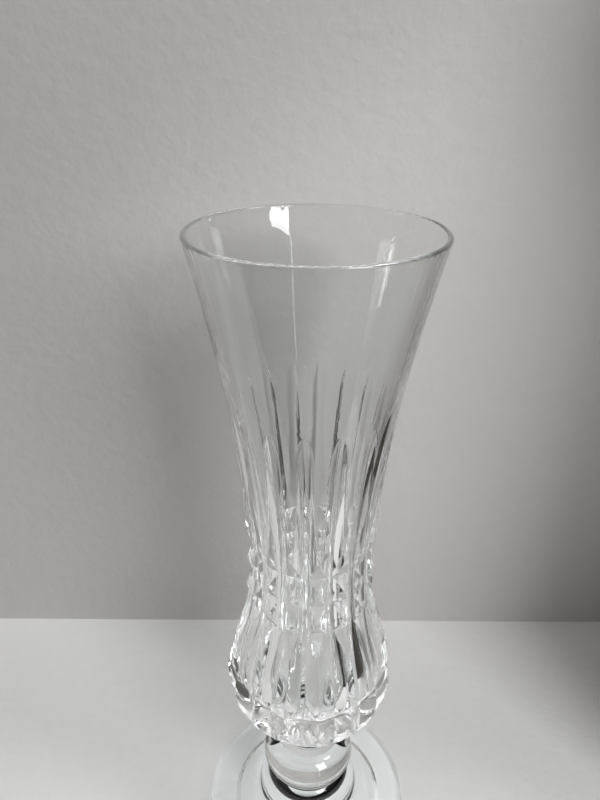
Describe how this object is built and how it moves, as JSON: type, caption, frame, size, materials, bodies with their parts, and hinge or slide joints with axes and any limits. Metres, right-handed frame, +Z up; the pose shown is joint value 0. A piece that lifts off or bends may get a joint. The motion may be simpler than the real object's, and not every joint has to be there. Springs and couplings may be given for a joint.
{
  "type": "champagne flute",
  "caption": "Cut crystal champagne flute with a trumpet-shaped cup, a faceted bulb, a short stem with a knop, and a round foot.",
  "frame": {"origin": "centre of the ring under the foot that the glass stands on", "axes": "+Z up the stem to the mouth; -Y is the side seen in front, with one upright cut 6 degrees to the left of it"},
  "size_m": [0.0678, 0.0678, 0.2],
  "materials": {
    "cut_crystal": "colourless lead crystal, deep wheel cuts polished bright on the outside, smooth inside",
    "plain_crystal": "colourless lead crystal, fire-polished, with a softly rounded edge"
  },
  "bodies": {
    "root": {"bowl": "cut_crystal", "neck": "plain_crystal", "collar": "plain_crystal", "knop": "plain_crystal", "merese": "plain_crystal", "foot": "plain_crystal"}
  },
  "joints": []
}
